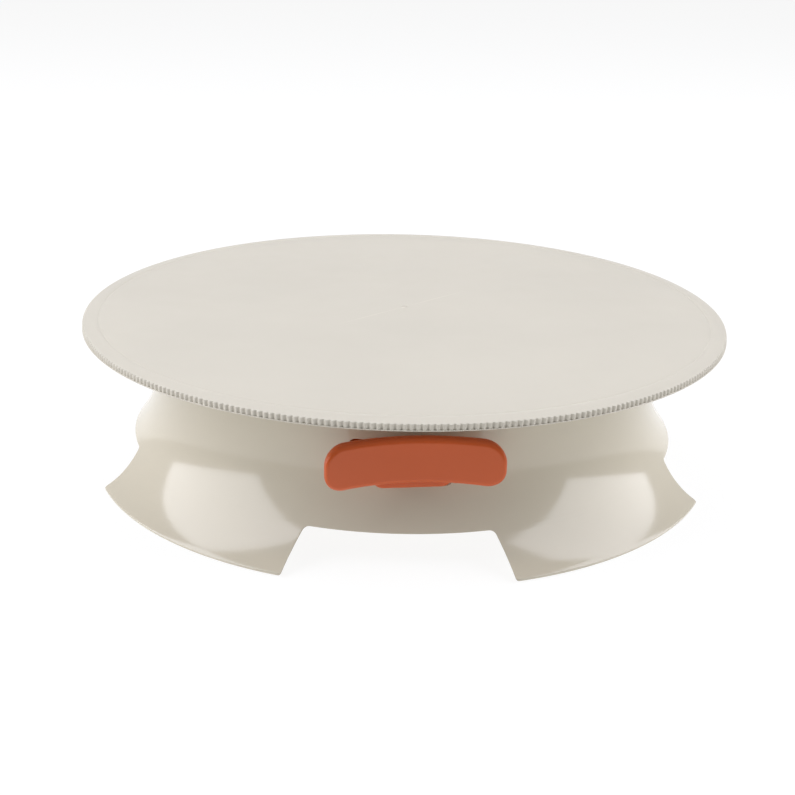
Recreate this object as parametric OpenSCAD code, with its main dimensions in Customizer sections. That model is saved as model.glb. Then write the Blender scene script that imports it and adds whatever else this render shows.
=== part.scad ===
// Cake-decorating turntable: a flat round plate with a ribbed rim turns on a
// ball race over a four-footed flared base, and a finger lever works a brake.
// Millimetres, +Z up. The origin is on the floor, on the axis of the plate.
// The lever side is the front and faces -Y.

/* [Plate] */
// Outer diameter of the plate over its rim ribs
plate_d = 280; // [276:1:300]
// Height of the plate's top face above the floor
plate_top_z = 67; // [67:0.5:75]
// Thickness of the plate's disc
plate_t = 2.4; // [2:0.1:3]
// Number of grip ribs round the rim
rib_count = 380; // [120:4:400]
// Depth of the grooves between the grip ribs
rib_depth = 0.6; // [0.3:0.1:0.8]
// Height of the band of grip ribs
rib_h = 2.2; // [2:0.1:3]
// Width of the rounded shoulder between the top face and the ribs
shoulder_w = 5; // [2:0.1:5]
// Height that the rounded shoulder falls
shoulder_h = 0.8; // [0.8:0.1:2]

/* [Base] */
// Radius of the base at the bottom of its feet
foot_r = 137; // [132:0.5:140]
// Radius of the upright part of the wall
wall_r = 109.5; // [107:0.5:111]
// Radius of the hollow curve of the wall
flare_r = 46.5; // [44:0.5:50]
// Wall and deck thickness
wall_t = 2.5; // [2:0.1:3]
// Height of the deck's top face
deck_z = 57; // [57:0.5:57.5]
// Height of the arches between the feet
arch_h = 14.2; // [12:0.2:16]
// Half the width of the front and rear arches at the floor
front_arch_floor_w = 44.2; // [40:0.1:46]
// Half the width of the front and rear arches at their top
front_arch_top_w = 35.7; // [32:0.1:38]
// Half the width of the side arches at the floor
side_arch_floor_w = 57; // [53:0.1:60]
// Half the width of the side arches at their top
side_arch_top_w = 42.6; // [40:0.1:46]
// Angle of a foot's middle from the front or the back
foot_angle = 41.9; // [38:0.1:45]
// Height of a rubber foot below its boss
rubber_h = 2.5; // [2:0.5:4]

/* [Ball bearing] */
// Number of balls
ball_count = 24; // [12:1:30]
// Ball diameter
ball_d = 5; // [4.5:0.1:5]
// Radius of the circle of ball centres
ball_pitch_r = 45; // [43:0.5:46]
// Clearance between a ball and each race
ball_gap = 0.15; // [0.1:0.05:0.3]
// Spindle diameter
spindle_d = 12; // [10:0.5:13]
// Radial running clearance of the spindle and the lever pin
run_gap = 0.05; // [0.02:0.01:0.08]

/* [Brake lever] */
// Width of the finger pad
lever_w = 67; // [60:1:72]
// Height of the finger pad
lever_h = 18; // [14:0.1:18.4]
// Thickness of the finger pad
lever_t = 5.5; // [4.5:0.5:6]
// Radius of the pad's hollow front face
lever_face_r = 66; // [60:1:90]
// Height of the middle of the finger pad
lever_z = 42.8; // [42:0.1:44]
// Distance of the lever's pivot from the plate's axis
pivot_r = 82; // [80:0.5:83]
// Distance of the pad's front face from the lever's pivot
lever_reach = 36.2; // [35:0.1:38]
// Full swing of the lever, from released to locked
lever_swing = 15; // [12:1:16]
// Outer radius of the drum that the brake shoe presses on
drum_r = 78; // [77.5:0.1:78]
// Gap left between the locked shoe and the drum
shoe_gap = 0.3; // [0.3:0.05:0.5]

/* [Hidden] */

$fn = 96;
cut = 1;
fit = 0.02;

ivory = [0.89, 0.87, 0.82];
orange = [0.80, 0.36, 0.17];
steel = [0.72, 0.73, 0.75];
brass = [0.78, 0.64, 0.35];
nylon = [0.93, 0.93, 0.90];
grey = [0.45, 0.46, 0.47];
rubber = [0.16, 0.16, 0.17];

// Plate
plate_r = plate_d / 2;
plate_under_z = plate_top_z - plate_t;
rib_top_z = plate_top_z - shoulder_h;
rib_bottom_z = rib_top_z - rib_h;
rim_lip_h = 0.4;
rim_bottom_z = rib_bottom_z - rim_lip_h;
rim_in_r = plate_r - 3.4;
rib_tip_r = plate_r - 0.15;
rib_root_r = rib_tip_r - rib_depth;
rim_core_r = rib_root_r - 0.9;
dimple_r = 1.2;
dimple_depth = 0.4;
groove_r = plate_r - 7;
groove_w = 1.2;
groove_depth = 0.25;
centre_pad_r = 26;
centre_pad_z = plate_top_z - 5.4;
drum_pad_in_r = 60;
drum_pad_out_r = 80;
drum_pad_z = plate_top_z - 4;
plate_rib_t = 1.4;
plate_rib_z = plate_top_z - 3.3;
plate_rib_count = 24;
ring_rib_r = 108;

// Base
edge_z = 0.5;
lip_top_z = 1.5;
flare_in = foot_r - wall_r;
flare_cr = wall_r + flare_r;
flare_cz = lip_top_z + sqrt(2 * flare_in * flare_r - flare_in * flare_in);
flare_end = acos((flare_r - flare_in) / flare_r);
flare_in_end = asin((flare_cz - edge_z) / (flare_r + wall_t));
shoulder_r = 6;
shoulder_z = deck_z - shoulder_r;
deck_under_z = deck_z - wall_t;
recess_r = 34;
recess_z = deck_z - 3.5;
boss_r = 13;
boss_bottom_z = 30;
bush_r = 8;
arc_steps = 16;
arch_fillet = 3.5;
foot_corner = 1.5;
rubber_pitch_r = 118;
rubber_boss_r = 9;
rubber_boss_top_z = 22;
rubber_disc_r = 8;
rubber_stem_r = 3.5;
rubber_stem_h = 7;
deck_ring_r = 60;
deck_rib_t = 2;
foot_angles = [foot_angle, 180 - foot_angle, 180 + foot_angle, 360 - foot_angle];

// Ball bearing
race_t = 2.2;
race_in_r = 38;
race_out_r = 52;
race_groove_r = ball_d / 2 + ball_gap;
lower_race_z = deck_z;
upper_race_z = plate_under_z - race_t;
ball_z = (lower_race_z + race_t + upper_race_z) / 2;
cage_t = 1.6;
cage_in_r = 40.5;
cage_out_r = 49.5;
cage_gap = 0.25;
race_lip_w = 1.5;
race_lip_h = 1;

// Spindle and its fixings
spindle_r = spindle_d / 2;
spindle_flange_r = 24;
spindle_flange_t = 3;
spindle_flange_z = centre_pad_z - spindle_flange_t;
spindle_end_z = boss_bottom_z - 0.5;
collar_r = 10;
bush_flange_r = 12;
bush_flange_t = 1.5;
collar_z = recess_z + bush_flange_t + 0.3;
keeper_washer_r = 11;
keeper_washer_t = 1.2;
spindle_screw_r = 17;

// Drum
drum_t = 3;
drum_flange_in_r = 64;
drum_flange_t = 2.4;
drum_bottom_z = deck_z + 1.2;
drum_screw_r = 69.5;
drum_screw_count = 6;

// Lever
pivot_y = -pivot_r;
lever_arm_z = 38.5;
lever_arm_t = 7;
lever_hub_r = 9;
lever_pin_r = 3;
crank_len = 26;
carrier_r = 4;
neck_half_w = 13;
neck_bottom_z = 31;
neck_top_z = 46;
slot_half_w = 20;
slot_bottom_z = neck_bottom_z - 1;
slot_top_z = neck_top_z + 1.5;
slot_corner = 3;
window_half_w = 5.8;
window_half_l = 9.4;
washer_t = 0.5;
pivot_boss_z = lever_arm_z + lever_arm_t + washer_t;
guide_t = 3;
guide_top_z = lever_arm_z - 0.3;
guide_z = guide_top_z - guide_t;
guide_screws = [[-40, -90], [40, -90], [-40, -64], [40, -64]];
post_r = 3.5;
released = lever_swing / 2;
shoe_z = drum_bottom_z + 0.4;
shoe_h = 3.8;
// Height of the shoe's lower face over the post that carries it
shoe_lift = 0.25;
shoe_t = 3;
holder_t = 3.2;
glue_t = 0.06;
crank_angle = atan2(crank_len * cos(released), pivot_r - crank_len * sin(released));

// Points of an arc in the (radius, height) plane, from angle a0 to angle a1.
function arc(cx, cy, r, a0, a1, n = arc_steps) =
    [for (i = [0 : n]) let (a = a0 + (a1 - a0) * i / n) [cx + r * cos(a), cy + r * sin(a)]];

// Turns a child from the front direction to the given angle towards +X.
module at_angle(a) rotate([0, 0, a]) children();

// A rectangle with round corners, centred on the origin.
module rounded_rect(w, h, r) {
    square([w, h - 2 * r], center = true);
    square([w - 2 * r, h], center = true);
    for (x = [-1, 1], y = [-1, 1])
        translate([x * (w / 2 - r), y * (h / 2 - r)]) circle(r = r);
}

// A flat ring standing on z.
module ring(r_out, r_in, z, h) {
    translate([0, 0, z]) difference() {
        cylinder(r = r_out, h = h);
        translate([0, 0, -cut]) cylinder(r = r_in, h = h + 2 * cut);
    }
}

// A screw with a pan head below z and its shank above z.
module screw_up(z, head_r, head_h, shank_r, shank_l) {
    translate([0, 0, z - head_h]) difference() {
        union() {
            cylinder(r = head_r, h = head_h);
            cylinder(r = shank_r, h = head_h + shank_l);
        }
        for (a = [0, 90])
            rotate([0, 0, a]) translate([-head_r * 0.6, -0.35, -cut])
                cube([head_r * 1.2, 0.7, cut + head_h * 0.5]);
    }
}

// ---- Base ----

// Half section of the base: flared wall, shoulder, deck, recess and centre boss.
module base_section() {
    polygon(concat(
        [[foot_r, edge_z]],
        arc(flare_cr, flare_cz, flare_r, 180 + flare_end, 180),
        arc(wall_r - shoulder_r, shoulder_z, shoulder_r, 0, 90, 8),
        [[recess_r, deck_z], [recess_r, recess_z], [bush_r, recess_z]],
        [[bush_r, boss_bottom_z], [boss_r, boss_bottom_z], [boss_r, recess_z - wall_t]],
        [[recess_r + wall_t, recess_z - wall_t], [recess_r + wall_t, deck_under_z]],
        arc(wall_r - shoulder_r, shoulder_z, shoulder_r - wall_t, 90, 0, 8),
        arc(flare_cr, flare_cz, flare_r + wall_t, 180, 180 + flare_in_end)));
}

// Points down one side of an arch, from its top to below the floor, with both corners rounded.
function arch_side(top_w, floor_w) =
    let (lean = atan((floor_w - top_w) / (arch_h - edge_z)), k = tan(45 - lean / 2))
    concat(
        arc(top_w - arch_fillet * k, arch_h - arch_fillet, arch_fillet, 90, lean, 8),
        arc(floor_w + foot_corner * k, edge_z + foot_corner, foot_corner, 180 + lean, 270, 6),
        [[floor_w + foot_corner * k, -cut]]);

// A bar in the shape of an arch, right through the base along the Y axis.
module arch_bar(top_w, floor_w) {
    side = arch_side(top_w, floor_w);
    rotate([90, 0, 0]) linear_extrude(2 * foot_r + 2 * cut, center = true)
        polygon(concat(side, [for (i = [len(side) - 1 : -1 : 0]) [-side[i][0], side[i][1]]]));
}

// A boss under each foot for its rubber plug, ending inside the outer face of the wall.
module rubber_bosses() intersection() {
    for (a = foot_angles)
        at_angle(a - 90) translate([rubber_pitch_r, 0, rubber_h])
            cylinder(r = rubber_boss_r, h = rubber_boss_top_z - rubber_h);
    rotate_extrude() polygon(concat(
        [[0, edge_z], [foot_r, edge_z]],
        arc(flare_cr, flare_cz, flare_r, 180 + flare_end, 180),
        [[0, flare_cz]]));
}

// A stiffening rib below the deck, pointing to the front.
module deck_rib() {
    inner_z = recess_z - wall_t - 6;
    outer_z = deck_under_z - 4.5;
    rotate([90, 0, -90]) linear_extrude(deck_rib_t, center = true)
        polygon([[boss_r - cut, inner_z], [wall_r - wall_t + 0.5, outer_z],
            [wall_r - wall_t + 0.5, deck_under_z - 1.5], [wall_r - shoulder_r, deck_under_z + 0.5],
            [recess_r + 1, deck_under_z + 0.5], [recess_r + 1, recess_z - wall_t + 0.5],
            [boss_r - cut, recess_z - wall_t + 0.5]]);
}

module base_shell() color(ivory) {
    difference() {
        union() {
            difference() {
                rotate_extrude() base_section();
                arch_bar(front_arch_top_w, front_arch_floor_w);
                rotate([0, 0, 90]) arch_bar(side_arch_top_w, side_arch_floor_w);
            }
            rubber_bosses();
            ring(deck_ring_r + deck_rib_t, deck_ring_r, deck_under_z - 4.5, 5);
            for (a = [60 : 30 : 300]) at_angle(a) mirror([1, 0, 0]) deck_rib();
            translate([0, pivot_y, pivot_boss_z]) cylinder(r = 7, h = deck_under_z - pivot_boss_z + 0.5);
            for (p = guide_screws)
                translate([p[0], p[1], guide_top_z])
                    cylinder(r = post_r, h = deck_under_z - guide_top_z + 0.5);
            ring(race_out_r + fit + race_lip_w, race_out_r + fit, deck_z - 0.5, race_lip_h + 0.5);
        }
        translate([0, -wall_r, (slot_top_z + slot_bottom_z) / 2]) rotate([90, 0, 0])
            linear_extrude(30, center = true)
                rounded_rect(2 * slot_half_w, slot_top_z - slot_bottom_z, slot_corner);
        translate([-crank_len, pivot_y, deck_under_z - cut]) linear_extrude(wall_t + 2 * cut)
            rounded_rect(2 * window_half_w, 2 * window_half_l, window_half_w - 0.1);
        translate([0, pivot_y, pivot_boss_z - cut])
            cylinder(r = lever_pin_r + fit, h = deck_under_z - pivot_boss_z + cut);
        for (p = guide_screws)
            translate([p[0], p[1], guide_top_z - cut]) cylinder(r = 1.2 + fit, h = 12 + cut);
        for (a = foot_angles)
            at_angle(a - 90) translate([rubber_pitch_r, 0, rubber_h - cut])
                cylinder(r = rubber_stem_r + fit, h = rubber_stem_h + 0.5 + cut);
    }
}

// A rubber foot: a round-edged disc with a stem that plugs into its boss.
module rubber_foot(a) color(rubber)
    at_angle(a - 90) translate([rubber_pitch_r, 0, 0]) rotate_extrude()
        polygon(concat(
            [[0, 0]],
            arc(rubber_disc_r - 1, 1, 1, -90, 0, 4),
            [[rubber_disc_r, rubber_h], [rubber_stem_r, rubber_h]],
            [[rubber_stem_r, rubber_h + rubber_stem_h - 0.5]],
            [[rubber_stem_r - 0.5, rubber_h + rubber_stem_h], [0, rubber_h + rubber_stem_h]]));

module rubber_foot_front_left() rubber_foot(foot_angles[3]);
module rubber_foot_front_right() rubber_foot(foot_angles[0]);
module rubber_foot_rear_left() rubber_foot(foot_angles[2]);
module rubber_foot_rear_right() rubber_foot(foot_angles[1]);

module centre_bush() color(brass) difference() {
    union() {
        translate([0, 0, boss_bottom_z]) cylinder(r = bush_r - fit, h = recess_z - boss_bottom_z);
        translate([0, 0, recess_z]) cylinder(r = bush_flange_r, h = bush_flange_t);
    }
    translate([0, 0, boss_bottom_z - cut])
        cylinder(r = spindle_r + run_gap, h = recess_z - boss_bottom_z + bush_flange_t + 2 * cut);
}

// A race ring with a round ball track.
module race_ring(z) difference() {
    ring(race_out_r, race_in_r, z, race_t);
    rotate_extrude() translate([ball_pitch_r, ball_z]) circle(r = race_groove_r);
}

module lower_race_ring() color(steel) race_ring(lower_race_z);

module lever_guide_plate() color(ivory) difference() {
    intersection() {
        translate([0, -77, guide_z]) linear_extrude(guide_t) rounded_rect(96, 42, 6);
        translate([0, 0, guide_z - cut]) cylinder(r = 103, h = guide_t + 2 * cut);
    }
    translate([0, pivot_y, guide_z - cut]) cylinder(r = lever_pin_r + fit, h = guide_t + 2 * cut);
    for (p = guide_screws)
        translate([p[0], p[1], guide_z - cut]) cylinder(r = 1.5, h = guide_t + 2 * cut);
}

module guide_plate_screws() color(steel)
    for (p = guide_screws) translate([p[0], p[1], 0]) screw_up(guide_z, 3, 1.8, 1.2, 13);

module lever_pivot_pin() color(steel) translate([0, pivot_y, guide_z - 2]) {
    cylinder(r = 5, h = 2);
    cylinder(r = lever_pin_r, h = deck_under_z - guide_z + 1);
}

module lever_friction_washer() color(steel)
    translate([0, pivot_y, 0]) ring(7, lever_pin_r + run_gap, pivot_boss_z - washer_t, washer_t);

// ---- Turntable ----

// Half section of the plate: disc, dimple, finger groove, thick pads and rim.
module plate_section() {
    shoulder_end_r = rib_root_r - 0.1;
    shoulder_in_r = plate_r - shoulder_w;
    polygon(concat(
        [[0, plate_top_z - dimple_depth], [dimple_r, plate_top_z]],
        [[groove_r - groove_w / 2, plate_top_z], [groove_r, plate_top_z - groove_depth]],
        [[groove_r + groove_w / 2, plate_top_z], [shoulder_in_r, plate_top_z]],
        [for (i = [1 : 6]) let (a = 15 * i)
            [shoulder_in_r + (shoulder_end_r - shoulder_in_r) * sin(a),
                plate_top_z - shoulder_h * (1 - cos(a))]],
        [[rim_core_r, rib_top_z], [rim_core_r, rib_bottom_z]],
        [[plate_r, rib_bottom_z], [plate_r, rim_bottom_z]],
        [[rim_in_r, rim_bottom_z], [rim_in_r, plate_under_z]],
        [[ring_rib_r + plate_rib_t, plate_under_z], [ring_rib_r + plate_rib_t, plate_rib_z]],
        [[ring_rib_r, plate_rib_z], [ring_rib_r, plate_under_z]],
        [[drum_pad_out_r, plate_under_z], [drum_pad_out_r, drum_pad_z]],
        [[drum_pad_in_r, drum_pad_z], [drum_pad_in_r, plate_under_z]],
        [[race_out_r + fit + race_lip_w, plate_under_z]],
        [[race_out_r + fit + race_lip_w, plate_under_z - race_lip_h]],
        [[race_out_r + fit, plate_under_z - race_lip_h], [race_out_r + fit, plate_under_z]],
        [[centre_pad_r, plate_under_z], [centre_pad_r, centre_pad_z], [0, centre_pad_z]]));
}

// Outline of the rim's grip ribs: four points a rib.
module rib_outline() {
    step = 360 / rib_count;
    corners = [[0.14, rib_root_r], [0.28, rib_tip_r], [0.72, rib_tip_r], [0.86, rib_root_r]];
    polygon([for (i = [0 : rib_count - 1], c = corners)
        let (a = (i + c[0]) * step) [c[1] * cos(a), c[1] * sin(a)]]);
}

module turntable_plate() color(ivory) difference() {
    union() {
        rotate_extrude() plate_section();
        translate([0, 0, rib_bottom_z]) linear_extrude(rib_h) difference() {
            rib_outline();
            circle(r = rim_core_r - 0.8);
        }
        for (i = [0 : plate_rib_count - 1])
            rotate([0, 0, (i + 0.5) * 360 / plate_rib_count])
                translate([drum_pad_out_r - 0.5, -plate_rib_t / 2, plate_rib_z])
                    cube([rim_in_r - drum_pad_out_r + 1, plate_rib_t, plate_under_z - plate_rib_z + 0.5]);
    }
    for (i = [0 : 3])
        rotate([0, 0, 90 * i + 45]) translate([spindle_screw_r, 0, centre_pad_z - cut])
            cylinder(r = 1.5 + fit, h = 3.8 + cut);
    for (i = [0 : drum_screw_count - 1])
        rotate([0, 0, i * 360 / drum_screw_count]) translate([drum_screw_r, 0, drum_pad_z - cut])
            cylinder(r = 1.2 + fit, h = 2.8 + cut);
}

module spindle() color(steel) difference() {
    union() {
        translate([0, 0, spindle_end_z]) cylinder(r = spindle_r, h = centre_pad_z - spindle_end_z);
        translate([0, 0, collar_z]) cylinder(r = collar_r, h = centre_pad_z - collar_z);
        translate([0, 0, spindle_flange_z]) cylinder(r = spindle_flange_r, h = spindle_flange_t);
    }
    translate([0, 0, spindle_end_z - cut]) cylinder(r = 2.5 + fit, h = 16 + cut);
    for (i = [0 : 3])
        rotate([0, 0, 90 * i + 45]) translate([spindle_screw_r, 0, spindle_flange_z - cut])
            cylinder(r = 1.8, h = spindle_flange_t + 2 * cut);
}

module spindle_screws() color(steel)
    for (i = [0 : 3])
        rotate([0, 0, 90 * i + 45]) translate([spindle_screw_r, 0, 0])
            screw_up(spindle_flange_z, 3.2, 1.7, 1.5, spindle_flange_t + 3.6);

module upper_race_ring() color(steel) race_ring(upper_race_z);

module brake_drum() color(grey) difference() {
    union() {
        ring(drum_r, drum_r - drum_t, drum_bottom_z, drum_pad_z - drum_bottom_z);
        ring(drum_r - drum_t + 0.5, drum_flange_in_r, drum_pad_z - drum_flange_t, drum_flange_t);
    }
    for (i = [0 : drum_screw_count - 1])
        rotate([0, 0, i * 360 / drum_screw_count])
            translate([drum_screw_r, 0, drum_pad_z - drum_flange_t - cut])
                cylinder(r = 1.5, h = drum_flange_t + 2 * cut);
}

module brake_drum_screws() color(steel)
    for (i = [0 : drum_screw_count - 1])
        rotate([0, 0, i * 360 / drum_screw_count]) translate([drum_screw_r, 0, 0])
            screw_up(drum_pad_z - drum_flange_t, 2.6, 1.6, 1.2, drum_flange_t + 2.6);

module retaining_washer() color(steel)
    ring(keeper_washer_r, 2.6, spindle_end_z - keeper_washer_t, keeper_washer_t);

module retaining_screw() color(steel)
    screw_up(spindle_end_z - keeper_washer_t, 4.8, 3, 2.5, keeper_washer_t + 14);

// ---- Ball bearing ----

module ball_cage() color(nylon) difference() {
    ring(cage_out_r, cage_in_r, ball_z - cage_t / 2, cage_t);
    for (i = [0 : ball_count - 1])
        rotate([0, 0, i * 360 / ball_count]) translate([ball_pitch_r, 0, ball_z - cage_t])
            cylinder(r = ball_d / 2 + cage_gap, h = 2 * cage_t);
}

module bearing_balls() color(steel)
    for (i = [0 : ball_count - 1])
        rotate([0, 0, i * 360 / ball_count]) translate([ball_pitch_r, 0, ball_z]) sphere(d = ball_d);

// ---- Brake lever ----

// Places a child that is drawn about the lever's pivot, with the lever centred, at rest.
module lever_at_rest() translate([0, pivot_y, 0]) rotate([0, 0, released]) children();

// The hollow finger pad with rounded edges and ends.
module finger_pad() intersection() {
    translate([0, -lever_reach - lever_face_r, lever_z]) rotate_extrude()
        translate([lever_face_r + lever_t / 2, 0]) rounded_rect(lever_t, lever_h, 2);
    translate([0, -lever_reach - 12, lever_z]) rotate([-90, 0, 0]) linear_extrude(12 + lever_t + cut)
        rounded_rect(lever_w, lever_h, lever_h / 2 - 0.6);
}

module brake_lever() color(orange) lever_at_rest() difference() {
    union() {
        finger_pad();
        translate([-neck_half_w, -lever_reach + 2, neck_bottom_z])
            cube([2 * neck_half_w, lever_reach - 2 - 20, neck_top_z - neck_bottom_z]);
        translate([0, 0, lever_arm_z]) {
            cylinder(r = lever_hub_r, h = lever_arm_t);
            translate([-crank_len, 0, 0]) cylinder(r = 6.5, h = lever_arm_t);
            linear_extrude(lever_arm_t) polygon([[-7.5, 0], [-neck_half_w + 1, -21],
                [neck_half_w - 1, -21], [7.5, 0]]);
            linear_extrude(lever_arm_t) polygon([[0, 7], [-crank_len, 5.5], [-crank_len, -5.5], [0, -7]]);
        }
    }
    translate([0, 0, lever_arm_z - cut]) cylinder(r = lever_pin_r + run_gap, h = lever_arm_t + 2 * cut);
    translate([-crank_len, 0, lever_arm_z - cut]) {
        cylinder(r = 3.4, h = 2.2 + cut);
        cylinder(r = 1.7, h = lever_arm_t);
        translate([0, 0, lever_arm_t + cut - 2]) cylinder(r = carrier_r + fit, h = 2 + cut);
    }
}

// Puts a child that is drawn at the locked pose where it lies at rest.
module from_locked() translate([0, pivot_y, 0]) rotate([0, 0, lever_swing])
    translate([0, -pivot_y, 0]) children();

// A curved bar that is concentric with the drum when the lever is locked.
module shoe_arc(r_in, r_out, z, h, half_angle) at_angle(-crank_angle - 90 - half_angle)
    rotate_extrude(angle = 2 * half_angle) translate([r_in, z]) square([r_out - r_in, h]);

module shoe_carrier() color(grey) difference() {
    union() {
        lever_at_rest() translate([-crank_len, 0, lever_arm_z + lever_arm_t - 2])
            cylinder(r = carrier_r, h = shoe_z - lever_arm_z - lever_arm_t + 2 + 0.2);
        from_locked() shoe_arc(drum_r + shoe_gap + shoe_t + glue_t,
            drum_r + shoe_gap + shoe_t + holder_t, shoe_z, shoe_h, 7);
    }
    lever_at_rest() translate([-crank_len, 0, lever_arm_z + lever_arm_t - 2 - cut])
        cylinder(r = 1.5 + fit, h = 10 + cut);
}

module brake_shoe() color(rubber)
    from_locked() shoe_arc(drum_r + shoe_gap, drum_r + shoe_gap + shoe_t,
        shoe_z + shoe_lift, shoe_h - shoe_lift, 8);

module shoe_screw() color(steel)
    lever_at_rest() translate([-crank_len, 0, 0]) screw_up(lever_arm_z + 2.2, 3, 2, 1.5, 12);

base_shell();
centre_bush();
lower_race_ring();
lever_guide_plate();
guide_plate_screws();
lever_pivot_pin();
lever_friction_washer();
rubber_foot_front_left();
rubber_foot_front_right();
rubber_foot_rear_left();
rubber_foot_rear_right();
turntable_plate();
spindle();
spindle_screws();
upper_race_ring();
brake_drum();
brake_drum_screws();
retaining_washer();
retaining_screw();
ball_cage();
bearing_balls();
brake_lever();
shoe_carrier();
brake_shoe();
shoe_screw();
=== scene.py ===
"""The looks of a cake-decorating turntable with a brake lever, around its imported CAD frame.

Lengths in the building functions are millimetres, and MM turns them into metres.
"""

import math

import bmesh
import bpy
from mathutils import Matrix, Vector


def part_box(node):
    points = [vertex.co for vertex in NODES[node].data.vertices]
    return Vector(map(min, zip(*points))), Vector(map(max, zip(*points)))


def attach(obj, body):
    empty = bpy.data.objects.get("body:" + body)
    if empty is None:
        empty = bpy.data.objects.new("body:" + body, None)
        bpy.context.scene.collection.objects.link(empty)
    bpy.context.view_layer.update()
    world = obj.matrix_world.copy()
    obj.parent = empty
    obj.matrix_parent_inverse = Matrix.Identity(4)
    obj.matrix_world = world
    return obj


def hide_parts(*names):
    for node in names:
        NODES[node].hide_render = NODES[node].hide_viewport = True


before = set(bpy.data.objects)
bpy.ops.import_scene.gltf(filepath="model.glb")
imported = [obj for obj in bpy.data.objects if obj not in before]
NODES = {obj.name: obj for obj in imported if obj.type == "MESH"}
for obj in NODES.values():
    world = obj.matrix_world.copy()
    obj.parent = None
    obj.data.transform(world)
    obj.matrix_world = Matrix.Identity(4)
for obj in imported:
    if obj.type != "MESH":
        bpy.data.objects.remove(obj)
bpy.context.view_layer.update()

MM = 0.001


# ---- Sizes, from the frame where it holds them ----

def highest_corner(name):
    """Highest corner of a CAD node's box, in millimetres."""
    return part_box(name)[1] / MM


PLATE_R = highest_corner("turntable_plate").x
PLATE_TOP = highest_corner("turntable_plate").z
PLATE_T = 2.4
PLATE_UNDER = PLATE_TOP - PLATE_T
RIB_LOW = PLATE_TOP - 3.3
RIB_COUNT = 380
RIB_TOP = PLATE_TOP - 0.8
RIB_BOTTOM = RIB_TOP - 2.2
RIM_BOTTOM = RIB_BOTTOM - 0.4
RIB_TIP_R = PLATE_R - 0.15
RIB_DEPTH = 0.6
SHOULDER_W = 5
DIMPLE_DEPTH = 0.45
CIRCLE_R = PLATE_R - 7
CIRCLE_HALF_W = 0.9
CIRCLE_DEPTH = 0.22
RIM_IN_R = PLATE_R - 3.4
RING_RIB = (108, 109.4)
DRUM_PAD = (60, 80)
DRUM_PAD_Z = PLATE_TOP - 4
CENTRE_PAD_R = 26
CENTRE_PAD_Z = PLATE_TOP - 5.4
RACE_LIP = (52.02, 53.52)
RACE_LIP_H = 1
UNDER_RIB_COUNT = 24
UNDER_RIB_T = 1.4

DECK = highest_corner("base_shell").z - RACE_LIP_H
EDGE_Z = 0.5
LIP_TOP = 1.5
FOOT_R = 137
WALL_R = 109.5
FLARE_R = 46.5
WALL_T = 2.5
ARCH_H = 14.2
FOOT_ANGLE = 41.9
FRONT_ARCH = (35.7, 44.2)
SIDE_ARCH = (42.6, 57)
ARCH_FILLET = 3.5
FOOT_CORNER = 1.5
DECK_EDGE_R = 6
FLARE_CR = WALL_R + FLARE_R
FLARE_IN = FOOT_R - WALL_R
FLARE_CZ = LIP_TOP + math.sqrt(2 * FLARE_IN * FLARE_R - FLARE_IN ** 2)

PIVOT_Y = -82
LEVER_SWING = 15
LEVER_Z = 42.8
LEVER_W = 67
LEVER_H = 18
LEVER_T = 5.5
LEVER_FACE_R = 66
NECK_LOW = 31
NECK_HIGH = 46
ARM_LOW = 38.5
ARM_HIGH = 45.5
LEVER_REACH = 36.2
SLOT_LOW = 30
SLOT_HIGH = 47.5


# ---- Mesh helpers ----

def arc(cx, cy, r, a0, a1, steps):
    """Points of a circular arc from angle a0 to a1, in degrees."""
    angles = [math.radians(a0 + (a1 - a0) * i / steps) for i in range(steps + 1)]
    return [(cx + r * math.cos(a), cy + r * math.sin(a)) for a in angles]


def lerp(a, b, t):
    """The value a share t of the way from a to b."""
    return a + (b - a) * t


def make_object(name, verts, faces):
    """A smooth object from vertices in millimetres."""
    mesh = bpy.data.meshes.new(name)
    mesh.from_pydata([Vector(v) * MM for v in verts], [], faces)
    mesh.validate()
    for polygon in mesh.polygons:
        polygon.use_smooth = True
    obj = bpy.data.objects.new(name, mesh)
    bpy.context.scene.collection.objects.link(obj)
    return obj


def from_bmesh(name, bm, smooth_angle=35):
    """An object from a bmesh in millimetres, smooth except at edges sharper than the angle."""
    bmesh.ops.recalc_face_normals(bm, faces=bm.faces)
    bmesh.ops.scale(bm, vec=(MM, MM, MM), verts=bm.verts)
    mesh = bpy.data.meshes.new(name)
    bm.to_mesh(mesh)
    bm.free()
    obj = bpy.data.objects.new(name, mesh)
    bpy.context.scene.collection.objects.link(obj)
    soften(obj, smooth_angle)
    return obj


def soften(obj, angle=35):
    """Shades a mesh smooth except at edges sharper than the angle."""
    for polygon in obj.data.polygons:
        polygon.use_smooth = True
    bm = bmesh.new()
    bm.from_mesh(obj.data)
    limit = math.radians(angle)
    for edge in bm.edges:
        if len(edge.link_faces) == 2:
            edge.smooth = edge.calc_face_angle(0) < limit
    bm.to_mesh(obj.data)
    bm.free()


def lathe(name, profile, segments=192, smooth_angle=35):
    """A closed outline of (radius, height) points turned round the Z axis."""
    bm = bmesh.new()
    rings = []
    for r, z in profile:
        if r < 1e-6:
            rings.append([bm.verts.new((0, 0, z))])
            continue
        rings.append([bm.verts.new((r * math.cos(2 * math.pi * i / segments),
                                    r * math.sin(2 * math.pi * i / segments), z))
                      for i in range(segments)])
    for k, ring in enumerate(rings):
        following = rings[(k + 1) % len(rings)]
        for i in range(segments):
            j = (i + 1) % segments
            corners = [ring[i % len(ring)], ring[j % len(ring)],
                       following[j % len(following)], following[i % len(following)]]
            unique = list(dict.fromkeys(corners))
            if len(unique) > 2:
                bm.faces.new(unique)
    return from_bmesh(name, bm, smooth_angle)


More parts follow.
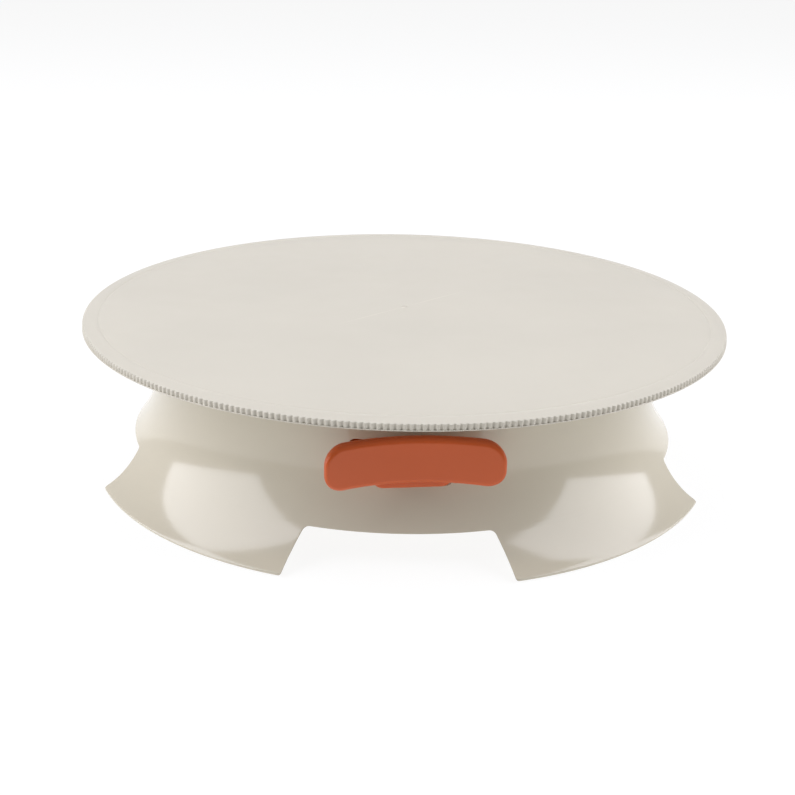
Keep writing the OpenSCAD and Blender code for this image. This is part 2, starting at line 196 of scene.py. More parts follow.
def bevelled(obj, width, segments=3, angle=30):
    """Adds and applies a bevel to a mesh's sharp edges."""
    modifier = obj.modifiers.new("round_edges", "BEVEL")
    modifier.width = width * MM
    modifier.segments = segments
    modifier.limit_method = "ANGLE"
    modifier.angle_limit = math.radians(angle)
    apply_modifiers(obj)
    soften(obj, 40)
    return obj


def apply_modifiers(obj):
    """Replaces a mesh with its evaluated result."""
    bpy.context.view_layer.update()
    graph = bpy.context.evaluated_depsgraph_get()
    mesh = bpy.data.meshes.new_from_object(obj.evaluated_get(graph))
    obj.modifiers.clear()
    obj.data = mesh


def prism(name, outline, z0, z1, bevel=0.4, matrix=None):
    """An upright prism over a flat outline, with its edges rounded."""
    bm = bmesh.new()
    low = [bm.verts.new((x, y, z0)) for x, y in outline]
    high = [bm.verts.new((x, y, z1)) for x, y in outline]
    bm.faces.new(low)
    bm.faces.new(high)
    count = len(outline)
    for i in range(count):
        j = (i + 1) % count
        bm.faces.new((low[i], low[j], high[j], high[i]))
    if matrix is not None:
        bmesh.ops.transform(bm, matrix=matrix, verts=bm.verts)
    obj = from_bmesh(name, bm)
    return bevelled(obj, bevel) if bevel else obj


def join(name, parts):
    """Joins several objects into one."""
    bm = bmesh.new()
    for part in parts:
        part.data.transform(part.matrix_world)
        bm.from_mesh(part.data)
        mesh = part.data
        bpy.data.objects.remove(part)
        bpy.data.meshes.remove(mesh)
    mesh = bpy.data.meshes.new(name)
    bm.to_mesh(mesh)
    bm.free()
    obj = bpy.data.objects.new(name, mesh)
    bpy.context.scene.collection.objects.link(obj)
    return obj


def place(piece, body, slot, material, *replaced):
    """Sets a piece's material and body, and hides the CAD nodes that it stands for; the slot argument is not
    used.
    """
    piece.data.materials.clear()
    piece.data.materials.append(material)
    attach(piece, body)
    if replaced:
        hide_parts(*replaced)


# ---- Materials ----

def srgb(r, g, b):
    """Linear colour of an sRGB triple in 0 to 255."""
    def one(c):
        c = c / 255
        return c / 12.92 if c <= 0.04045 else ((c + 0.055) / 1.055) ** 2.4
    return (one(r), one(g), one(b), 1.0)


def darker(colour, factor):
    """A colour times a factor, with full alpha."""
    return tuple(c * factor for c in colour[:3]) + (1.0,)


GRAIN_DEPTH = 0.02 * MM


class Nodes:
    """A small helper that builds a material's node tree."""

    def __init__(self, name):
        self.material = bpy.data.materials.new(name)
        self.material.use_nodes = True
        self.tree = self.material.node_tree
        self.shader = self.tree.nodes["Principled BSDF"]

    def add(self, kind):
        """A new node of a kind."""
        return self.tree.nodes.new(kind)

    def link(self, output, target):
        """Joins an output socket to an input socket."""
        self.tree.links.new(output, target)

    def set(self, socket, value):
        """Sets one of the shader's inputs."""
        self.shader.inputs[socket].default_value = value

    def coords(self, scale):
        """Object coordinates, scaled along each axis."""
        source = self.add("ShaderNodeTexCoord")
        mapping = self.add("ShaderNodeMapping")
        mapping.inputs["Scale"].default_value = scale
        self.link(source.outputs["Object"], mapping.inputs["Vector"])
        return mapping.outputs["Vector"]

    def noise(self, scale, detail=3.0, stretch=(1, 1, 1)):
        """A noise value between about 0.3 and 0.7."""
        node = self.add("ShaderNodeTexNoise")
        node.inputs["Scale"].default_value = scale
        node.inputs["Detail"].default_value = detail
        self.link(self.coords(stretch), node.inputs["Vector"])
        return node.outputs["Fac"]

    def ramp(self, value, low, high, start=0.0, end=1.0):
        """A value mapped from the range low to high onto start to end, and clamped."""
        node = self.add("ShaderNodeMapRange")
        self.link(value, node.inputs["Value"])
        node.inputs["From Min"].default_value = low
        node.inputs["From Max"].default_value = high
        node.inputs["To Min"].default_value = start
        node.inputs["To Max"].default_value = end
        return node.outputs["Result"]

    def blend(self, factor, a, b):
        """Colour a where the factor is nought and b where it is one."""
        node = self.add("ShaderNodeMix")
        node.data_type = "RGBA"
        self.link(factor, node.inputs["Factor"])
        for socket, value in ((node.inputs[6], a), (node.inputs[7], b)):
            if isinstance(value, tuple):
                socket.default_value = value
            else:
                self.link(value, socket)
        return node.outputs[2]

    def edges(self, low=0.55, high=0.64):
        """One on sharp convex edges and nought elsewhere."""
        geometry = self.add("ShaderNodeNewGeometry")
        return self.ramp(geometry.outputs["Pointiness"], low, high)

    def bump(self, height, strength, distance):
        """Tilts the surface by a height value, over a distance in metres."""
        node = self.add("ShaderNodeBump")
        node.inputs["Strength"].default_value = strength
        node.inputs["Distance"].default_value = distance
        self.link(height, node.inputs["Height"])
        self.link(node.outputs["Normal"], self.shader.inputs["Normal"])

    def colour(self, socket):
        """Links the base colour."""
        self.link(socket, self.shader.inputs["Base Color"])

    def roughness(self, socket):
        """Links the roughness."""
        self.link(socket, self.shader.inputs["Roughness"])


def plastic(name, colour, rough, grain=900.0, edge_highlight=1.06, specular=0.5):
    """Moulded plastic: faint mottling, a fine grain, and a painted highlight that lightens its sharp convex
    edges.
    """
    n = Nodes(name)
    clouds = n.noise(14.0, 4.0)
    mottled = n.blend(n.ramp(clouds, 0.35, 0.65), darker(colour, 0.97), colour)
    # Painted highlight: sharp convex edges are made lighter by the edge factor.
    n.colour(n.blend(n.edges(), mottled, darker(colour, edge_highlight)))
    smears = n.noise(38.0, 5.0)
    n.roughness(n.ramp(smears, 0.3, 0.7, rough * 0.85, rough * 1.2))
    n.bump(n.noise(grain, 2.0), 0.25, GRAIN_DEPTH)
    n.set("Specular IOR Level", specular)
    return n.material


def metal(name, colour, rough, brushed=(1, 1, 12), grain=500.0):
    """Plated or polished metal with fine tool marks."""
    n = Nodes(name)
    marks = n.noise(grain, 4.0, brushed)
    tint = n.noise(30.0, 3.0)
    n.colour(n.blend(n.ramp(tint, 0.3, 0.7), darker(colour, 0.88), colour))
    n.roughness(n.ramp(marks, 0.3, 0.7, rough * 0.75, rough * 1.3))
    n.bump(marks, 0.15, GRAIN_DEPTH)
    n.set("Metallic", 1.0)
    return n.material


def rubber(name, colour):
    """Dull moulded rubber with a pitted skin and dusty patches."""
    n = Nodes(name)
    dust = n.noise(60.0, 6.0)
    n.colour(n.blend(n.ramp(dust, 0.45, 0.8), colour, srgb(84, 82, 80)))
    n.roughness(n.ramp(dust, 0.3, 0.7, 0.62, 0.88))
    n.bump(n.noise(1400.0, 3.0), 0.35, 2 * GRAIN_DEPTH)
    n.set("Specular IOR Level", 0.35)
    return n.material


ivory = plastic("ivory_plastic", srgb(208, 200, 182), 0.12)
plate_white = plastic("plate_plastic", srgb(207, 201, 188), 0.34, grain=1500.0, specular=0.45)
# The orange has the strongest painted edge highlight.
orange = plastic("orange_plastic", srgb(206, 92, 40), 0.34, grain=1300.0, edge_highlight=1.12, specular=0.4)
grey = plastic("grey_plastic", srgb(118, 120, 122), 0.5)
nylon = plastic("nylon_plastic", srgb(236, 235, 228), 0.38)
steel = metal("plated_steel", srgb(196, 198, 202), 0.28)
ball_steel = metal("ball_steel", srgb(214, 216, 220), 0.08, brushed=(1, 1, 1), grain=200.0)
brass = metal("bush_brass", srgb(205, 168, 96), 0.26)
foot_rubber = rubber("foot_rubber", srgb(46, 46, 48))
shoe_rubber = rubber("shoe_rubber", srgb(40, 40, 42))


# ---- Plate ----

def plate_section():
    """Closed outline of the plate: flat top, finger circle, rounded shoulder, lip, underside."""
    shoulder_in = PLATE_R - SHOULDER_W
    shoulder_end = RIB_TIP_R - RIB_DEPTH - 0.05
    run = shoulder_end - shoulder_in
    drop = PLATE_TOP - RIB_TOP
    core = shoulder_end - 1.2
    points = [(0, PLATE_TOP - DIMPLE_DEPTH), (0.9, PLATE_TOP - 0.38), (1.3, PLATE_TOP - 0.1)]
    points += [(1.45, PLATE_TOP)]
    points += [(r, PLATE_TOP) for r in (12, 30, 50, 70, 90, 110, 122)]
    points += [(CIRCLE_R + CIRCLE_HALF_W * t, PLATE_TOP - CIRCLE_DEPTH * (1 + math.cos(math.pi * t)) / 2)
               for t in (-1, -0.75, -0.5, -0.25, 0, 0.25, 0.5, 0.75, 1)]
    points += [(shoulder_in + run * t, PLATE_TOP - drop * t ** 1.3)
               for t in (0, 0.03, 0.07, 0.12, 0.2, 0.35, 0.5, 0.65, 0.8, 0.9, 1)]
    points += [(core, RIB_TOP), (core, RIB_BOTTOM)]
    points += [(PLATE_R - 0.12, RIB_BOTTOM), (PLATE_R, RIB_BOTTOM - 0.1), (PLATE_R, RIM_BOTTOM + 0.12)]
    points += [(PLATE_R - 0.15, RIM_BOTTOM), (RIM_IN_R + 0.2, RIM_BOTTOM), (RIM_IN_R, RIM_BOTTOM + 0.2)]
    points += [(RIM_IN_R, PLATE_UNDER), (RING_RIB[1], PLATE_UNDER), (RING_RIB[1], RIB_LOW)]
    points += [(RING_RIB[0], RIB_LOW), (RING_RIB[0], PLATE_UNDER)]
    points += [(DRUM_PAD[1], PLATE_UNDER), (DRUM_PAD[1], DRUM_PAD_Z)]
    points += [(DRUM_PAD[0], DRUM_PAD_Z), (DRUM_PAD[0], PLATE_UNDER)]
    points += [(RACE_LIP[1], PLATE_UNDER), (RACE_LIP[1], PLATE_UNDER - RACE_LIP_H)]
    points += [(RACE_LIP[0], PLATE_UNDER - RACE_LIP_H), (RACE_LIP[0], PLATE_UNDER)]
    points += [(CENTRE_PAD_R, PLATE_UNDER), (CENTRE_PAD_R, CENTRE_PAD_Z), (0, CENTRE_PAD_Z)]
    return points


def rim_ribs():
    """The band of upright grip ribs, each a rounded bar that runs out at its upper end."""
    steps = 8
    count = RIB_COUNT * steps
    root = RIB_TIP_R - RIB_DEPTH
    rows = [(RIB_BOTTOM - 0.05, 0.9), (RIB_BOTTOM + 0.15, 1.0), (RIB_TOP - 0.55, 1.0),
            (RIB_TOP - 0.22, 0.86), (RIB_TOP - 0.05, 0.45), (RIB_TOP + 0.04, 0.0)]
    across = [abs(i / steps - 0.5) * 2 for i in range(steps)]
    shape = [max(0.0, 1 - (t / 0.8) ** 2.5) for t in across]
    verts = []
    for z, reach in rows:
        for i in range(count):
            a = 2 * math.pi * i / count
            r = root + RIB_DEPTH * shape[i % steps] * reach
            verts.append((r * math.cos(a), r * math.sin(a), z))
    inside = root - 1
    for z in (RIB_TOP + 0.04, RIB_BOTTOM - 0.05):
        for i in range(count):
            a = 2 * math.pi * i / count
            verts.append((inside * math.cos(a), inside * math.sin(a), z))
    faces = []
    total = len(rows) + 2
    for k in range(total):
        following = (k + 1) % total
        for i in range(count):
            j = (i + 1) % count
            faces.append((k * count + i, k * count + j, following * count + j, following * count + i))
    obj = make_object("rim_ribs", verts, faces)
    soften(obj, 50)
    return obj


def underside_ribs():
    """The plate's radial stiffening ribs."""
    parts = []
    start, end, half_t = DRUM_PAD[1] - 0.5, PLATE_R - 3, UNDER_RIB_T / 2
    outline = [(start, -half_t), (end, -half_t), (end, half_t), (start, half_t)]
    for i in range(UNDER_RIB_COUNT):
        turn = Matrix.Rotation(2 * math.pi * (i + 0.5) / UNDER_RIB_COUNT, 4, "Z")
        parts.append(prism("rib", outline, RIB_LOW, PLATE_UNDER + 0.6, 0.3, turn))
    return join("plate_underside_ribs", parts)


plate_disc = lathe("plate_disc", plate_section(), RIB_COUNT, 25)
place(plate_disc, "turntable", "plate_plastic", plate_white, "turntable_plate")
place(rim_ribs(), "turntable", "plate_plastic", plate_white)
place(underside_ribs(), "turntable", "plate_plastic", plate_white)


# ---- Base shell ----

EDGE_ROUND = 0.45
ROUND_STEPS = 4
FILLET_STEPS = 8
SIDE_STEPS = 10
CORNER_STEPS = 7
FOOT_COLUMNS = 56
ARCH_COLUMNS = (26, 34, 26, 34)
BLEND_TOP = 30
RUBBER_R = 118
BOSS_R = 9
POST_R = 3.5
POST_X = 40
POST_YS = (-90, -64)
SLOT_HALF_W = 20
CRANK_LEN = 26
FEET = (FOOT_ANGLE, 180 - FOOT_ANGLE, 180 + FOOT_ANGLE, 360 - FOOT_ANGLE)
NOSE_R = 0.8
NOSE_CZ = FLARE_CZ - math.sqrt((FLARE_R + NOSE_R) ** 2 - (FLARE_CR - FOOT_R + NOSE_R) ** 2)
NOSE_TOP = NOSE_CZ + NOSE_R * (FLARE_CZ - NOSE_CZ) / (FLARE_R + NOSE_R)


def wall_radius(z, inner):
    """Radius of the wall's outer or inner face at a height."""
    if inner:
        return FLARE_CR - math.sqrt((FLARE_R + WALL_T) ** 2 - (FLARE_CZ - min(z, FLARE_CZ)) ** 2)
    if z <= NOSE_CZ:
        return FOOT_R
    if z < NOSE_TOP:
        return FOOT_R - NOSE_R + math.sqrt(NOSE_R ** 2 - (z - NOSE_CZ) ** 2)
    return FLARE_CR - math.sqrt(FLARE_R ** 2 - (FLARE_CZ - min(z, FLARE_CZ)) ** 2)


def direction(angle):
    """Unit vector at an angle from the front towards +X."""
    a = math.radians(angle)
    return Vector((math.sin(a), -math.cos(a), 0))


def arch_side(arch, pull):
    """(across, height) points down one side of an arch, from its top to the floor edge.

    The line is pulled into the foot, which leaves room for the rounded edge.
    """
    top_w, floor_w = arch
    lean = math.degrees(math.atan((floor_w - top_w) / (ARCH_H - EDGE_Z)))
    k = math.tan(math.radians(45 - lean / 2))
    fillet = arc(top_w - ARCH_FILLET * k, ARCH_H - ARCH_FILLET, ARCH_FILLET + pull, 90, lean, FILLET_STEPS)
    corner = arc(floor_w + FOOT_CORNER * k, EDGE_Z + FOOT_CORNER, FOOT_CORNER - pull, 180 + lean, 270,
                 CORNER_STEPS)
    side = []
    for i in range(1, SIDE_STEPS):
        t = 1 - (1 - i / SIDE_STEPS) ** 1.6
        side.append(tuple(lerp(p, q, t) for p, q in zip(fillet[-1], corner[0])))
    return fillet + side + corner


def foot_sides(k, pull, inner):
    """(angle, height) points down the two sides of foot k on the wall's outer or inner face."""
    sides = []
    for n, turn in ((k, 1), (k + 1, -1)):
        arch = FRONT_ARCH if n % 2 == 0 else SIDE_ARCH
        sides.append([(90 * n + turn * math.degrees(math.asin(w / wall_radius(z, inner))), z)
                      for w, z in arch_side(arch, pull)])
    return sides


def across_foot(left, right, i):
    """Point i of a foot's row, with the columns closer together at its sides."""
    t = 2 * i / FOOT_COLUMNS - 1
    t = 0.5 + 0.5 * (0.35 * math.sin(t * math.pi / 2) + 0.65 * t)
    return lerp(left[0], right[0], t), lerp(left[1], right[1], t)


def on_wall(angle, z, inner):
    """Point on the wall's outer or inner face at an angle and a height."""
    return direction(angle) * wall_radius(z, inner) + Vector((0, 0, z))


def arch_angles(k, pull, inner):
    """Angles of the columns over the arch that follows foot k."""
    first = foot_sides(k, pull, inner)[1][0][0]
    last = foot_sides(k + 1, pull, inner)[0][0][0]
    steps = ARCH_COLUMNS[(k + 1) % 4]
    return [lerp(first, last, i / steps) for i in range(1, steps)]


def edge_points(pull, inner):
    """Points round the whole lower edge of one face: each foot's outline, then the arch after it."""
    points = []
    for k in range(4):
        left, right = foot_sides(k, pull, inner)
        outline = left + [across_foot(left[-1], right[-1], i) for i in range(1, FOOT_COLUMNS)]
        outline += reversed(right)
        outline += [(a, ARCH_H + pull) for a in arch_angles(k, pull, inner)]
        points += [on_wall(a, z, inner) for a, z in outline]
    return points


def column_angles(inner):
    """Angle of every column of the grid just above the arches."""
    angles = []
    for k in range(4):
        left, right = foot_sides(k, EDGE_ROUND, inner)
        angles += [across_foot(left[0], right[0], i)[0] for i in range(FOOT_COLUMNS + 1)]
        angles += arch_angles(k, EDGE_ROUND, inner)
    return angles


def upper_section():
    """Outline above the arches as (radius, height, inner): up the outside, over the deck, down the inside."""
    low = ARCH_H + EDGE_ROUND
    outside = [(wall_radius(z, False), z, False) for z in (lerp(low, FLARE_CZ, i / 18) for i in range(19))]
    outside.append((WALL_R, (FLARE_CZ + DECK - DECK_EDGE_R) / 2, False))
    centre_r, centre_z = WALL_R - DECK_EDGE_R, DECK - DECK_EDGE_R
    outside += [(r, z, False) for r, z in arc(centre_r, centre_z, DECK_EDGE_R, 0, 90, 8)]
    lip_in, lip_out = RACE_LIP
    lip_top = DECK + RACE_LIP_H
    deck = [(95, DECK), (80, DECK), (66, DECK), (lip_out + 0.38, DECK), (lip_out, DECK + 0.35),
            (lip_out, lip_top - 0.3), (lip_out - 0.32, lip_top), (lip_in + 0.28, lip_top),
            (lip_in, lip_top - 0.3), (lip_in, DECK), (34.4, DECK),
            (34, DECK - 0.4), (34, DECK - 3.5), (8, DECK - 3.5), (8, 30), (12.6, 30), (13, 30.4),
            (13, DECK - 6.8), (13.8, DECK - 6), (36.5, DECK - 6), (36.5, DECK - WALL_T - 0.8),
            (37.3, DECK - WALL_T), (60, DECK - WALL_T), (80, DECK - WALL_T)]
    middle = [(r, z, False) for r, z in deck]
    inside = [(r, z, True) for r, z in arc(centre_r, centre_z, DECK_EDGE_R - WALL_T, 90, 0, 8)]
    inside += [(wall_radius(z, True), z, True) for z in (lerp(FLARE_CZ, low, i / 18) for i in range(19))]
    return outside + middle + inside


def base_skin():
    """The base shell as one closed grid whose arches and feet have rounded edges."""
    verts, faces = [], []

    def add(point):
        verts.append(point)
        return len(verts) - 1

    def strip(first, second, closed=True):
        for i in range(len(first) - (0 if closed else 1)):
            j = (i + 1) % len(first)
            faces.append((first[i], first[j], second[j], second[i]))

    own = {inner: column_angles(inner) for inner in (False, True)}
    rows = []
    for r, z, inner in upper_section():
        share = min(1.0, max(0.0, (z - ARCH_H - EDGE_ROUND) / (BLEND_TOP - ARCH_H))) if r > 100 else 1.0
        rows.append([add(direction(lerp(a, (a + b) / 2, share)) * r + Vector((0, 0, z)))
                     for a, b in zip(own[inner], own[not inner])])
    for first, second in zip(rows, rows[1:]):
        strip(first, second)

    loops = {}
    for inner, top in ((False, rows[0]), (True, rows[-1])):
        loop = []
        start = 0
        for k in range(4):
            grid = [top[start:start + FOOT_COLUMNS + 1]]
            left, right = foot_sides(k, EDGE_ROUND, inner)
            for a, b in zip(left[1:], right[1:]):
                grid.append([add(on_wall(*across_foot(a, b, i), inner)) for i in range(FOOT_COLUMNS + 1)])
            for first, second in zip(grid, grid[1:]):
                strip(first, second, closed=False)
            arch = ARCH_COLUMNS[(k + 1) % 4] - 1
            start += FOOT_COLUMNS + 1
            loop += [line[0] for line in grid] + grid[-1][1:-1] + [line[-1] for line in reversed(grid)]
            loop += top[start:start + arch]
            start += arch
        loops[inner] = loop

    corners = {inner: edge_points(0, inner) for inner in (False, True)}
    bands = [loops[False]]
    for step in range(1, 2 * ROUND_STEPS + 1):
        inner = step > ROUND_STEPS
        t = (step - ROUND_STEPS - 1 if inner else step) / ROUND_STEPS
        band = []
        for n, (a, b) in enumerate(zip(corners[inner], corners[not inner])):
            on_face = verts[loops[inner][n]]
            on_edge = a + (b - a).normalized() * EDGE_ROUND
            p, q = (on_edge, on_face) if inner else (on_face, on_edge)
            band.append(add(p * (1 - t) ** 2 + a * 2 * t * (1 - t) + q * t ** 2))
        bands.append(band)
    bands.append(loops[True])
    for first, second in zip(bands, bands[1:]):
        strip(first, second)
    return verts, faces


def rounded_rectangle(half_w, half_h, r, steps=8):
    """Outline of a rectangle with round corners, centred on the origin."""
    points = []
    for x, y, start in ((1, 1, 0), (-1, 1, 90), (-1, -1, 180), (1, -1, 270)):
        points += arc(x * (half_w - r), y * (half_h - r), r, start, start + 90, steps)
    return points


def cut(obj, cutter):
    """Takes a cutter's shape out of a mesh."""
    modifier = obj.modifiers.new("cut", "BOOLEAN")
    modifier.operation = "DIFFERENCE"
    modifier.solver = "EXACT"
    modifier.object = cutter
    apply_modifiers(obj)
    bpy.data.objects.remove(cutter)


def even_normals(obj, angle=35):
    """Smooth shading in which the large faces keep their own direction."""
    soften(obj, angle)
    modifier = obj.modifiers.new("face_normals", "WEIGHTED_NORMAL")
    modifier.keep_sharp = True
    modifier.weight = 50
    apply_modifiers(obj)


def rubber_boss(foot):
    """A boss on the inside of the flare that holds a rubber foot's plug."""
    bm = bmesh.new()
    middle = direction(foot) * RUBBER_R
    steps = 48
    low, high = [], []
    for i in range(steps):
        a = 2 * math.pi * i / steps
        x, y = middle.x + BOSS_R * math.cos(a), middle.y + BOSS_R * math.sin(a)
        reach = FLARE_CR - math.hypot(x, y)
        roof = FLARE_CZ - math.sqrt(max(0, (FLARE_R + 1.2) ** 2 - reach ** 2))
        low.append(bm.verts.new((x, y, 2.5)))
        high.append(bm.verts.new((x, y, min(22, roof))))
    top = bm.verts.new((middle.x, middle.y, 14.5))
    bm.faces.new(low)
    for i in range(steps):
        j = (i + 1) % steps
        bm.faces.new((low[i], low[j], high[j], high[i]))
        bm.faces.new((high[i], high[j], top))
    return from_bmesh("boss", bm)


def deck_ribs():
    """Nine upright webs below the deck, from the centre boss to the wall."""
    outline = [(12, DECK - 12), (WALL_R - 2, DECK - 7), (WALL_R - 2, DECK - 4), (WALL_R - 6, DECK - 2),
               (35, DECK - 2), (35, DECK - 5.5), (12, DECK - 5.5)]
    webs = []
    for i in range(9):
        out, side = direction(60 + 30 * i), direction(150 + 30 * i)
        turn = Matrix(((out.x, 0, side.x), (out.y, 0, side.y), (0, 1, 0))).to_4x4()
        webs.append(prism("web", outline, -1, 1, 0.3, turn))
    return webs


def base_details():
    """Webs, posts and bosses on the inside of the base."""
    top = DECK - 1.5
    parts = deck_ribs()
    parts.append(lathe("ring", [(60, DECK - 7), (62, DECK - 7), (62, top), (60, top)], 128))
    boss = lathe("pivot", [(0, 46), (6.6, 46), (7, 46.4), (7, top), (0, top)], 64)
    boss.location = Vector((0, PIVOT_Y, 0)) * MM
    parts.append(boss)
    for x in (-POST_X, POST_X):
        for y in POST_YS:
            outline = [(0, 38.2), (POST_R - 0.3, 38.2), (POST_R, 38.5), (POST_R, top), (0, top)]
            post = lathe("post", outline, 48)
            post.location = Vector((x, y, 0)) * MM
            parts.append(post)
    parts += [rubber_boss(foot) for foot in FEET]
    bpy.context.view_layer.update()
    return join("base_webs_and_bosses", parts)


def base_shell():
    """The base's skin with the lever's slot and the window over the crank's path cut out."""
    obj = make_object("base_shell_skin", *base_skin())
    bm = bmesh.new()
    bm.from_mesh(obj.data)
    bmesh.ops.recalc_face_normals(bm, faces=bm.faces)
    bm.to_mesh(obj.data)
    bm.free()
    middle, half_h = (SLOT_LOW + SLOT_HIGH) / 2, (SLOT_HIGH - SLOT_LOW) / 2
    facing = Matrix(((1, 0, 0), (0, 0, -1), (0, 1, 0))).to_4x4()
    slot = [(x, z + middle) for x, z in rounded_rectangle(SLOT_HALF_W, half_h, 3)]
    cut(obj, prism("slot_cutter", slot, 95, 125, 0, facing))
    window = [(x - CRANK_LEN, y + PIVOT_Y) for x, y in rounded_rectangle(5.8, 9.4, 5.7)]
    cut(obj, prism("window_cutter", window, DECK - 4, DECK + 2, 0))
    even_normals(obj)
    return obj


place(base_shell(), "base", "ivory_plastic", ivory, "base_shell")
place(base_details(), "base", "ivory_plastic", ivory)


# ---- Brake lever ----

def lever_place():
    """The matrix that takes a shape drawn about the lever's pivot to where it lies at rest."""
    turn = Matrix.Rotation(math.radians(LEVER_SWING / 2), 4, "Z")
    return Matrix.Translation((0, PIVOT_Y * MM, 0)) @ turn


def pad_outline(inset):
    """Outline of the finger pad from the front, with evenly spaced points along top and bottom."""
    r = LEVER_H / 2 - 1.6
    half_w, half_h = LEVER_W / 2, LEVER_H / 2
    points = []
    for x, y, start in ((1, 1, 90), (1, -1, 0), (-1, -1, -90), (-1, 1, -180)):
        corner = arc(x * (half_w - r), y * (half_h - r), r - inset, start, start - 90, 12)
        points += corner
        if y * x < 0:
            run = 26
            x0, y0 = corner[-1]
            points += [(lerp(x0, -x0, i / run), y0) for i in range(1, run)]
    return points


def finger_pad():
    """The hollow finger pad: rings of its outline from the front face to the back, and two faces."""
    soft = 2.1
    rings = []
    for i in range(7):
        a = math.radians(90 * i / 6)
        rings.append((soft * (1 - math.sin(a)), soft * (1 - math.cos(a))))
    for i in range(6, -1, -1):
        a = math.radians(90 * i / 6)
        rings.append((soft * (1 - math.sin(a)), LEVER_T - soft * (1 - math.cos(a))))
    bm = bmesh.new()
    loops = []
    for inset, depth in rings:
        loop = []
        for x, z in pad_outline(inset):
            y = math.sqrt((LEVER_FACE_R + depth) ** 2 - x * x) - LEVER_REACH - LEVER_FACE_R
            loop.append(bm.verts.new((x, y, LEVER_Z + z)))
        loops.append(loop)
    count = len(loops[0])
    for first, second in zip(loops, loops[1:]):
        for i in range(count):
            j = (i + 1) % count
            bm.faces.new((first[i], first[j], second[j], second[i]))
    for loop in (loops[0], loops[-1]):
        span = sorted(loop, key=lambda v: (round(v.co.x, 4), v.co.z))
        pairs = [(span[i], span[i + 1]) for i in range(0, count - 1, 2)]
        for (a, b), (c, d) in zip(pairs, pairs[1:]):
            bm.faces.new((a, c, d, b))
    return from_bmesh("lever_finger_pad", bm, 45)


def lever_neck():
    """The neck between pad and arm: a rounded bar that widens where it meets the pad.

    A section is its y from the pivot, its half width and how far its height shrinks.
    """
    sections = [(-20, 12.5, 0), (-24, 12.5, 0), (-28, 12.5, 0), (-29.5, 12.8, 0), (-31, 13.6, 0),
                (-32, 14.4, 0), (-32.7, 14.9, 0), (-33.3, 14.9, 0.2), (-33.7, 14.5, 0.6), (-33.9, 13.9, 1.2)]
    bm = bmesh.new()
    loops = []
    for y, half_w, shrink in sections:
        outline = rounded_rectangle(half_w, (NECK_HIGH - NECK_LOW) / 2 - shrink, 4, 8)
        loops.append([bm.verts.new((x, y, z + (NECK_LOW + NECK_HIGH) / 2)) for x, z in outline])
    count = len(loops[0])
    for first, second in zip(loops, loops[1:]):
        for i in range(count):
            j = (i + 1) % count
            bm.faces.new((first[i], first[j], second[j], second[i]))
    bm.faces.new(loops[0])
    bm.faces.new(loops[-1])
    return from_bmesh("lever_neck", bm, 40)


def arm_hole(r):
    """A cutter for a round hole through the arm."""
    low, high = ARM_LOW - 1, ARM_HIGH + 1
    return lathe("hole", [(0, low), (r, low), (r, high), (0, high)], 64)


def lever_arm():
    """The flat arm inside the base: pivot hub, reach to the neck and crank to the brake shoe."""
    low, high = ARM_LOW, ARM_HIGH
    reach = prism("reach", [(-7.5, 0), (-12, -21), (12, -21), (7.5, 0)], low, high, 0.6)
    outline = [(0, 7), (-CRANK_LEN, 5.5), (-CRANK_LEN, -5.5), (0, -7)]
    crank = prism("crank", outline, low + 0.05, high - 0.05, 0.6)
    hub = [(3.05, low), (8.4, low), (9, low + 0.6), (9, high - 0.6), (8.4, high), (3.05, high)]
    end = [(3.4, low), (6, low), (6.5, low + 0.5), (6.5, high - 0.5), (6, high), (4.05, high),
           (4.05, high - 2), (1.7, high - 2), (1.7, low + 2.2), (3.4, low + 2.2)]
    hub, end = lathe("hub", hub, 96), lathe("end", end, 96)
    end.location = (-CRANK_LEN * MM, 0, 0)
    cut(reach, arm_hole(8))
    cut(crank, arm_hole(8))
    hole = arm_hole(5.5)
    hole.location = (-CRANK_LEN * MM, 0, 0)
    bpy.context.view_layer.update()
    cut(crank, hole)
    return join("lever_arm", [reach, crank, hub, end])


for build, stands_for in ((finger_pad, ["brake_lever"]), (lever_neck, []), (lever_arm, [])):
    part = build()
    part.data.transform(lever_place())
    even_normals(part, 40)
    place(part, "lever", "orange_plastic", orange, *stands_for)


# ---- Finishes of the CAD pieces that show as they are ----

FINISHES = {
    "lever_guide_plate": (ivory, "ivory_plastic"),
    "centre_bush": (brass, "bush_brass"),
    "bearing_balls": (ball_steel, "ball_steel"),
    "ball_cage": (nylon, "nylon"),
    "brake_drum": (grey, "grey_plastic"),
    "shoe_carrier": (grey, "grey_plastic"),
    "brake_shoe": (shoe_rubber, "shoe_rubber"),
}
for name, node in NODES.items():
    material, slot = FINISHES.get(name, (steel, "plated_steel"))
    if name.startswith("rubber_foot"):
        material, slot = foot_rubber, "foot_rubber"
    node.data.materials.clear()
    node.data.materials.append(material)


# ---- Stage, light and camera ----

COOL_WHITE = (0.97, 0.985, 1.05)


def make_floor():
    """A plain pale floor that mostly glows, so that shadows on it stay faint."""
    bm = bmesh.new()
    bmesh.ops.create_grid(bm, x_segments=8, y_segments=8, size=9000)
    floor = from_bmesh("floor", bm)
    n = Nodes("floor_white")
    n.set("Base Color", (0.14, 0.14, 0.14, 1))
    n.set("Roughness", 0.95)
    n.set("Specular IOR Level", 0.0)
    n.set("Emission Color", (1, 1, 1, 1))
    n.set("Emission Strength", 0.88)
    floor.data.materials.append(n.material)


def area_light(name, place_at, target, size, power):
    """A rectangular softbox that faces a target."""
    data = bpy.data.lights.new(name, "AREA")
    data.shape = "RECTANGLE"
    data.size, data.size_y = size
    data.energy = power
    data.color = COOL_WHITE
    light = bpy.data.objects.new(name, data)
    bpy.context.scene.collection.objects.link(light)
    light.location = place_at
    light.rotation_euler = (Vector(target) - Vector(place_at)).to_track_quat("-Z", "Y").to_euler()


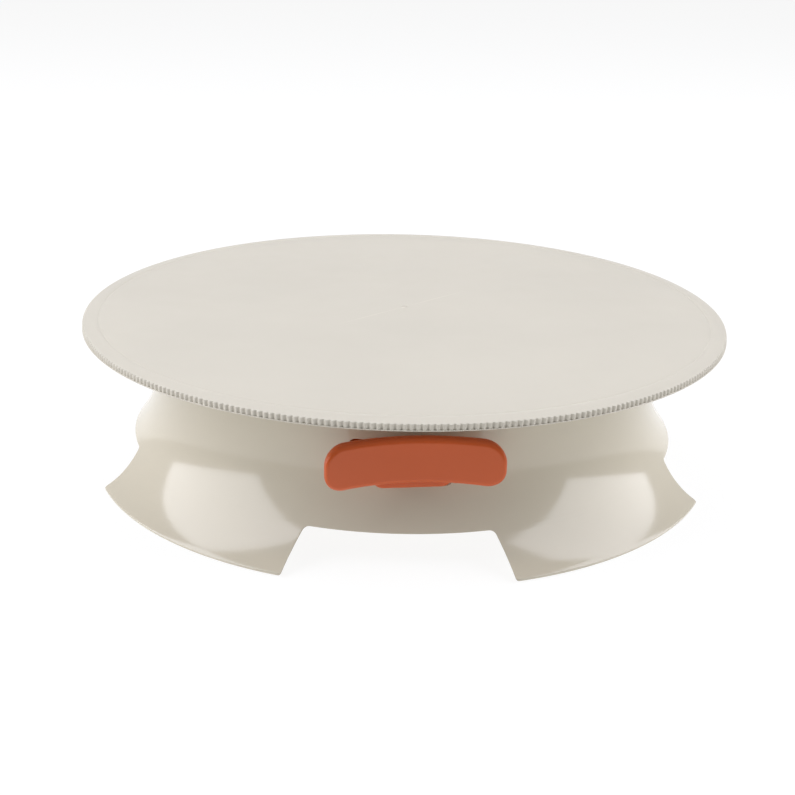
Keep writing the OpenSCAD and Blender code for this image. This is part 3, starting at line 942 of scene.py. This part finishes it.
def make_world(front, back, zenith):
    """A studio that is dim in front of the object and bright behind and above it."""
    world = bpy.data.worlds.new("studio")
    bpy.context.scene.world = world
    world.use_nodes = True
    tree = world.node_tree
    background = tree.nodes["Background"]
    background.inputs["Color"].default_value = (1, 1, 1, 1)
    source = tree.nodes.new("ShaderNodeTexCoord")
    split = tree.nodes.new("ShaderNodeSeparateXYZ")
    tree.links.new(source.outputs["Generated"], split.inputs[0])
    along = tree.nodes.new("ShaderNodeMapRange")
    along.inputs["From Min"].default_value = -1
    along.inputs["To Min"].default_value = front
    along.inputs["To Max"].default_value = back
    tree.links.new(split.outputs["Y"], along.inputs["Value"])
    upward = tree.nodes.new("ShaderNodeMath")
    upward.operation = "MULTIPLY_ADD"
    upward.inputs[1].default_value = zenith
    tree.links.new(split.outputs["Z"], upward.inputs[0])
    tree.links.new(along.outputs["Result"], upward.inputs[2])
    tree.links.new(upward.outputs[0], background.inputs["Strength"])


def make_camera():
    """The camera at the viewing angle: pitch, roll and yaw in degrees, lens in millimetres."""
    pitch, roll, yaw = math.radians(20.513), math.radians(1.26), math.radians(-0.2315)
    forward = Vector((math.sin(yaw) * math.cos(pitch), math.cos(yaw) * math.cos(pitch), -math.sin(pitch)))
    right = Vector((math.cos(yaw), -math.sin(yaw), 0))
    up = right.cross(forward)
    x_axis = right * math.cos(roll) + up * math.sin(roll)
    y_axis = up * math.cos(roll) - right * math.sin(roll)
    data = bpy.data.cameras.new("camera")
    data.lens = 60.51
    data.sensor_width = 36
    data.clip_start = 0.01
    data.clip_end = 60
    camera = bpy.data.objects.new("camera", data)
    bpy.context.scene.collection.objects.link(camera)
    matrix = Matrix((x_axis, y_axis, -forward)).transposed().to_4x4()
    matrix.translation = Vector((0, -0.5703, 0.2372))
    camera.matrix_world = matrix
    bpy.context.scene.camera = camera


make_floor()
make_world(0.06, 0.5, 0.05)
area_light("top_softbox", (0, 0.4, 1.6), (0, 0, 0), (1.2, 1.2), 4)
area_light("left_window", (-1.35, -0.15, 1.0), (0, 0, 0.1), (1.5, 1.5), 27)
area_light("right_window", (1.35, 0.1, 1.0), (0, 0, 0.1), (1.43, 1.5), 24)
make_camera()
bpy.context.scene.view_settings.view_transform = "Standard"
